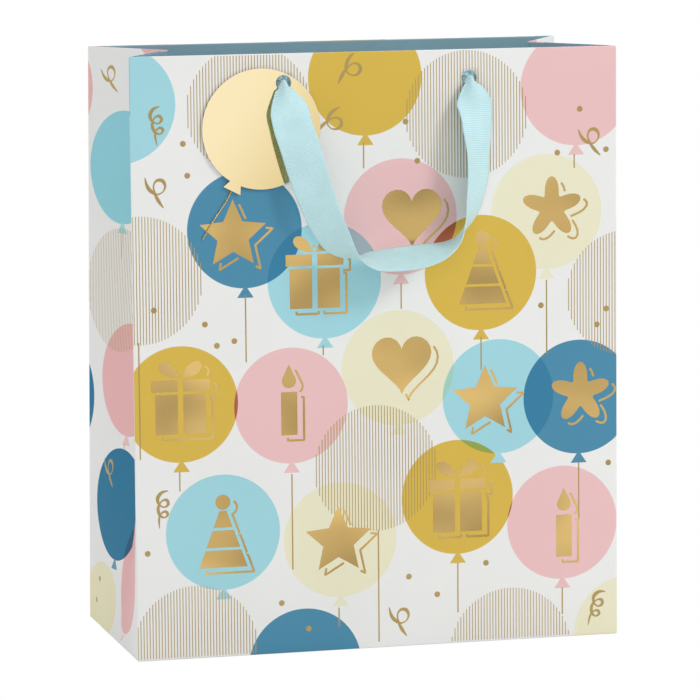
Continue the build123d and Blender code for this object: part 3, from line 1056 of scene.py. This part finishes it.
def ribbon_mesh(name):
    """A closed grosgrain strip along the route, ribbed across, gathered at both ends."""
    stations, total = handle_stations()
    last = len(stations) - 1
    outward = Vector((0, -1, 0))
    waves = 2 * pi * PLEATS
    cup_along, cup_across, seed = CUP_WAVES
    rows = []
    for i, (at, centre, twist) in enumerate(stations):
        from_neck = min(at, total - at) - NECK
        along = (stations[min(i + 1, last)][1] - stations[max(i - 1, 0)][1]).normalized()
        side = Vector((-1, 0, 0)) if at < total / 2 else Vector((1, 0, 0))
        across = side.lerp(along.cross(outward).normalized(), clamp(from_neck / NECK_TURN))
        across = (across - along * across.dot(along)).normalized()
        across = Matrix.Rotation(twist, 3, along) @ across
        normal = across.cross(along).normalized()
        opened = clamp(from_neck / (PINCH_LENGTH * MM))
        width = (PINCH_WIDTH + (RIBBON_WIDTH - PINCH_WIDTH) * sin(opened * pi / 2)) * MM
        depth = PLEAT_SHARE * pleat_depth(width) if opened < 1 else 0.0
        row = []
        for t in (k / ACROSS for k in range(ACROSS + 1)):
            cup = CUP * MM * noise.noise(Vector((at * cup_along, t * cup_across, seed))) * opened
            slope = depth * waves * sin(waves * t) / width
            face = (normal - across * slope).normalized() * half_thickness(at)
            point = centre + across * width * (t - 0.5) + normal * (cup - depth * cos(waves * t))
            row.append((point + face, point - face, (at, t * RIBBON_WIDTH * MM)))
        rows.append(row)
    return strip_mesh(name, rows), total


def strip_mesh(name, rows):
    """A closed mesh from rows of (upper point, lower point, UV) across a strip."""
    rings = [[(top, uv) for top, _, uv in row] + [(low, uv) for _, low, uv in row[::-1]] for row in rows]
    size = len(rings[0])
    faces = []
    for r in range(len(rings) - 1):
        for c in range(size):
            after = (c + 1) % size
            faces.append([(r, c), (r, after), (r + 1, after), (r + 1, c)])
    for r, turn in ((0, -1), (len(rings) - 1, 1)):
        faces += [[(r, c), (r, c + 1), (r, size - 2 - c), (r, size - 1 - c)][::turn]
                  for c in range(size // 2 - 1)]
    mesh = mesh_with_uvs(name, [point for ring in rings for point, _ in ring],
                         [[r * size + c for r, c in face] for face in faces], "ribbon",
                         (rings[r][c][1] for face in faces for r, c in face))
    bm = bmesh.new()
    bm.from_mesh(mesh)
    bmesh.ops.recalc_face_normals(bm, faces=bm.faces)
    bm.to_mesh(mesh)
    bm.free()
    return mesh


def on_wall(wall):
    """Where the hole line's own frame lies on the front or the back."""
    if wall == "front":
        return Matrix.Translation((0, FRONT_Y, FRONT_PIVOT.z))
    return (Matrix.Translation((0, BACK_Y - BACK_LEAN * BACK_PIVOT.z / HEIGHT, BACK_PIVOT.z))
            @ Matrix.Rotation(LEAN, 4, "X") @ Matrix.Rotation(pi, 4, "Z"))


def make_handle(wall, material):
    mesh, total = ribbon_mesh(f"{wall}_ribbon")
    mesh.transform(on_wall(wall))
    ribbon = add_object(f"{wall}_ribbon", mesh, None, [material])
    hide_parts(f"{wall}_handle_ribbon")
    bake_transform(ribbon)
    print(wall, "ribbon", round(total / MM, 1), "mm long")


# ---- knots, millimetres
KNOT_CENTRE = -5.6  # out from the wall, so inside it
KNOT_SCALE = 1.25
KNOT_STEPS = 150
STRAND = (2.0, 1.25)  # half width and half thickness of the folded ribbon in the knot
STRAND_ACROSS = 10
STRAND_EDGE = 0.05
RIDGES = (0.10, 6)  # folds across the strand: share of its thickness, and half waves
SWELLING = (0.04, 9)  # the same along it: share, and waves
STRAND_UV = (4.0, 0.6)  # the ribbon's own length to a radian of the knot, and its width to a step across
TAIL_WIDTH = 10.0
TAIL_DROP = (3.0, 18.0)  # where the cut end starts and stops, below the hole
TAIL_STEPS = 64
TAIL_PINCH = 0.45  # its width at the knot, as a share of its width at the end
TAIL_FOLDS = (1.1, 2)  # depth and number of its folds at the knot
TAIL_SWAY = (0.8, 2.4)  # how far it sways from the wall, over how many radians of a wave


def knot_centre_line(t):
    """A flattened overhand knot, closed on itself, in its own plane."""
    across, up = sin(t) + 2 * sin(2 * t), cos(t) - 2 * cos(2 * t)
    return Vector((across, -1.5 * sin(3 * t), up))


def knot_mesh(name):
    rows = []
    for t in (2 * pi * i / KNOT_STEPS for i in range(KNOT_STEPS + 1)):
        centre = knot_centre_line(t) * KNOT_SCALE * MM
        along = (knot_centre_line(t + 0.01) - knot_centre_line(t - 0.01)).normalized()
        side = along.cross(centre.normalized()).normalized()
        normal = side.cross(along)
        row = []
        for k in range(STRAND_ACROSS + 1):
            a = pi * k / STRAND_ACROSS
            ridge = 1 + RIDGES[0] * cos(RIDGES[1] * a) + SWELLING[0] * sin(SWELLING[1] * t)
            place = centre + side * STRAND[0] * MM * cos(a)
            rise = normal * (STRAND[1] * sin(a) * ridge + STRAND_EDGE) * MM
            row.append((place + rise, place - rise, (t * STRAND_UV[0] * MM, k * STRAND_UV[1] * MM)))
        rows.append(row)
    return strip_mesh(name, rows)


def tail_mesh(name):
    """The cut end of the ribbon, hanging out of the knot."""
    (depth, count), (sway, wave) = TAIL_FOLDS, TAIL_SWAY
    rows = []
    for t in (i / TAIL_STEPS for i in range(TAIL_STEPS + 1)):
        at = (TAIL_DROP[0] + (TAIL_DROP[1] - TAIL_DROP[0]) * t) * MM
        thick = Vector((0, half_thickness(at), 0))
        row = []
        for s in (k / STRAND_ACROSS - 0.5 for k in range(STRAND_ACROSS + 1)):
            fold = (depth * (1 - t) * cos(2 * pi * count * s) + sway * sin(wave * t)) * MM
            place = Vector((TAIL_WIDTH * MM * s * (TAIL_PINCH + (1 - TAIL_PINCH) * t), fold, -at))
            row.append((place - thick, place + thick, (at, (s + 0.5) * TAIL_WIDTH * MM)))
        rows.append(row)
    return strip_mesh(name, rows)


def make_knot(wall, x, name, material):
    """One ribbon end tied in a knot behind the wall, with its cut tail."""
    bm = bmesh.new()
    for part in (knot_mesh(name), tail_mesh(name)):
        bm.from_mesh(part)
        bpy.data.meshes.remove(part)
    mesh = mesh_from(name, bm)
    mesh.transform(on_wall(wall) @ Matrix.Translation((x, -KNOT_CENTRE * MM, 0)))
    knot = add_object(f"{name}_tied", mesh, "bag", [material])
    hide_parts(name)


# ---- tag and thread, millimetres
TAG_KNOT_TOP = 3.0  # half widths of the balloon's knot, and its height
TAG_KNOT_FOOT = 4.8
TAG_KNOT = 4.0
PLIES = 2
PLY_SIDES = 8
THREAD_STEP = 0.14
THREAD_LAY = 2.2  # length of a full turn of the plies


def tag_outline():
    """The balloon's outline about its hole, in millimetres, with the flared knot below."""
    neck = degrees(asin(TAG_KNOT_TOP / TAG_RADIUS))
    foot = -TAG_HANG - TAG_RADIUS - TAG_KNOT
    outline = arc(0, -TAG_HANG, TAG_RADIUS, -90 + neck, 270 - neck, 120)
    return outline + [(-TAG_KNOT_FOOT, foot), (TAG_KNOT_FOOT, foot)]


def make_tag(foil, paper):
    """A round foil-faced card: foil in front, white board at the edge and behind."""
    bm = bmesh.new()
    edges = []
    for loop in (tag_outline(), circle(0, 0, TAG_HOLE_RADIUS, 40)):
        verts = [bm.verts.new((x * MM, 0, y * MM)) for x, y in loop]
        edges += [bm.edges.new((a, b)) for a, b in neighbours(verts)]
    bmesh.ops.triangle_fill(bm, use_beauty=True, use_dissolve=False, edges=edges)
    turn_faces(bm, Vector((0, -1, 0)))
    mesh = mesh_from("gift_tag_card", bm)
    mesh.transform(on_wall("front") @ Matrix.Translation((-HOLE_X, -(TAG_OFF + TAG_CARD) * MM, 0))
                   @ Matrix.Rotation(TAG_TILT, 4, "Y"))
    tag = add_object("gift_tag_card", mesh, "tag", [foil, paper])
    thicken(tag, TAG_CARD * MM, inner_slot=1)
    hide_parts("gift_tag")


def thread_path():
    """Points along the thread, read from a smooth spline through its route."""
    curve = bpy.data.curves.new("thread_line", "CURVE")
    curve.dimensions = "3D"
    curve.resolution_u = 24
    spline = curve.splines.new("NURBS")
    spline.points.add(len(THREAD_ROUTE) - 1)
    for point, (left, down) in zip(spline.points, THREAD_ROUTE):
        place = Vector((-HOLE_X / MM - left, -THREAD_OFF, -down)) * MM
        point.co = (*(on_wall("front") @ place), 1)
    spline.order_u = 3
    spline.use_endpoint_u = True
    line = new_object("thread_line", curve)
    bpy.context.view_layer.update()
    made = bpy.data.meshes.new_from_object(line)
    path = [v.co.copy() for v in made.vertices]
    bpy.data.objects.remove(line)
    bpy.data.meshes.remove(made)
    return path


def make_thread(material):
    """Two plies twisted together along the path."""
    path = thread_path()
    marks, total = evenly(path, THREAD_STEP * MM)
    ply = THREAD / (2 * PLIES) * MM
    out = Vector((0, -1, 0))
    bm = bmesh.new()
    for strand in range(PLIES):
        rings = []
        for at, i, t in marks:
            side = (path[i + 1] - path[i]).normalized().cross(out).normalized()
            angle = 2 * pi * (at / (THREAD_LAY * MM) + strand / PLIES)
            centre = path[i].lerp(path[i + 1], t) + (side * cos(angle) + out * sin(angle)) * ply
            rings.append([bm.verts.new(centre + (side * cos(a) + out * sin(a)) * ply)
                          for a in turns(PLY_SIDES)])
        for near, far in zip(rings, rings[1:]):
            for s in range(PLY_SIDES):
                after = (s + 1) % PLY_SIDES
                bm.faces.new((near[s], near[after], far[after], far[s]))
        bm.faces.new(rings[0][::-1])
        bm.faces.new(rings[-1])
    bmesh.ops.recalc_face_normals(bm, faces=bm.faces)
    mesh = mesh_from("hanging_thread", bm)
    smooth(mesh)
    thread = add_object("hanging_thread", mesh, "tag", [material])
    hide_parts("tag_thread")
    print("thread", round(total / MM, 1), "mm long")


# ---- assembly
def paint_cad(names, material):
    """Gives CAD pieces that are shown as they are their finish."""
    for name in names:
        piece = bpy.data.objects[name]
        piece.data.materials.clear()
        piece.data.materials.append(material)


def mirrored(rows, place):
    """The same places measured from the other edge of a side face."""
    return [(*row[:place], DEPTH / MM - row[place], *row[place + 1:]) for row in rows]


def bag_faces():
    """Each face's name, start round the sheet, width, centre line, prints, and shine with painted ink shade.

    The back repeats the front, and the left side mirrors the right.
    """
    front = (FRONT_BALLOONS, FRONT_STRIPED, FRONT_STRINGS, FRONT_DOTS, FRONT_CURLS, FRONT_MOTIFS)
    side = (SIDE_BALLOONS, SIDE_STRIPED, SIDE_STRINGS, SIDE_DOTS, SIDE_CURLS, [])
    turned = [mirrored(rows, 1 if rows is SIDE_BALLOONS else 0) for rows in side]
    return [
        ("front", U_FRONT, WIDTH, HALF_W, front, FACE_SHINE_AND_SHADE),
        ("right", U_RIGHT, DEPTH, 0.0, side, SIDE_SHINE_AND_SHADE),
        ("back", U_BACK, WIDTH, HALF_W, front, FACE_SHINE_AND_SHADE),
        ("left", U_LEFT, DEPTH, 0.0, turned, SIDE_SHINE_AND_SHADE),
    ]


def main():
    make_camera()
    make_lights()
    make_world()
    make_floor(floor_material())
    faces = bag_faces()
    prints = [printed_paper(f"{name}_print", rows[0], start + centre, finish)
              for name, start, _, centre, rows, finish in faces]
    white = plain_paper("paper_inside", LINING_WHITE)
    foils = {
        "motifs": foil_material("gold_foil", MOTIF_GOLD, 0.24, (0.62, 1.24)),
        "fine": foil_material("fine_foil", FINE_GOLD, 0.4, (0.9, 1.08)),
    }
    inks = {ink: plain_paper(f"ink_{ink}", tuple(a * b for a, b in zip(colour, PAPER_WHITE)), 0.4)
            for ink, colour in INK.items()}
    make_walls(prints, white)
    make_turn_in(plain_paper("paper_blue", LINING_BLUE, 0.5))
    for name, start, width, centre, rows, _ in faces:
        print_face(name, start, width, centre / MM, rows, foils, inks)
    ribbon = ribbon_material()
    for wall in ("front", "back"):
        make_handle(wall, ribbon)
        for x, side in ((-HOLE_X, "left"), (HOLE_X, "right")):
            make_knot(wall, x, f"{wall}_{side}_knot", ribbon)
    make_tag(tag_foil_material(), plain_paper("tag_paper", TAG_WHITE))
    make_thread(thread_material())
    paint_cad(["front_hem_card", "back_hem_card", "base_card"], board_material())
    paint_cad(["base_flap_front", "base_flap_back", "base_flap_left", "base_flap_right", "side_seam_tab"],
              white)
    bpy.context.scene.view_settings.view_transform = "Standard"


main()
